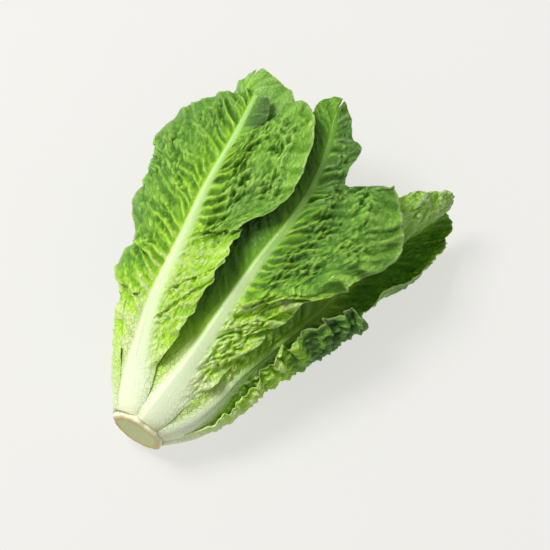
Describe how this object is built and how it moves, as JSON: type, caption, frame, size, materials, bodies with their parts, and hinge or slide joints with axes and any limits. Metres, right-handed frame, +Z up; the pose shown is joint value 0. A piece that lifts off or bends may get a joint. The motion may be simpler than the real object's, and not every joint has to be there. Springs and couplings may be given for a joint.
{
  "type": "romaine lettuce head",
  "caption": "Romaine lettuce head lying on its side: a cut stem end with long ribbed leaves, nested round the heart, crinkled at their edges and spread open at the tips.",
  "frame": {"origin": "on the table, below the middle of the head", "axes": "+X from the cut stem to the leaf tips, +Y to the head's left seen from the stem, +Z up from the table"},
  "size_m": [0.2724, 0.2138, 0.0943],
  "materials": {
    "cut_stem": "moist cut stem, pale green with a tan rim",
    "outer_leaf": "soft satin, green blade with a pale rib",
    "middle_leaf": "soft satin, mid green blade with a pale rib",
    "inner_leaf": "soft satin, pale yellow green"
  },
  "bodies": {
    "root": {"butt": "cut_stem", "outer_leaf_top_left": "outer_leaf", "outer_leaf_top": "outer_leaf", "outer_leaf_right": "outer_leaf", "outer_leaf_left": "outer_leaf", "outer_leaf_under": "outer_leaf", "middle_leaf_left": "middle_leaf", "middle_leaf_right": "middle_leaf", "middle_leaf_top": "middle_leaf", "middle_leaf_under": "middle_leaf", "middle_leaf_low_right": "middle_leaf", "inner_leaf_top": "inner_leaf", "inner_leaf_under": "inner_leaf", "inner_leaf_right": "inner_leaf", "inner_leaf_left": "inner_leaf", "heart_leaf_upper": "inner_leaf", "heart_leaf_lower": "inner_leaf"}
  },
  "joints": []
}
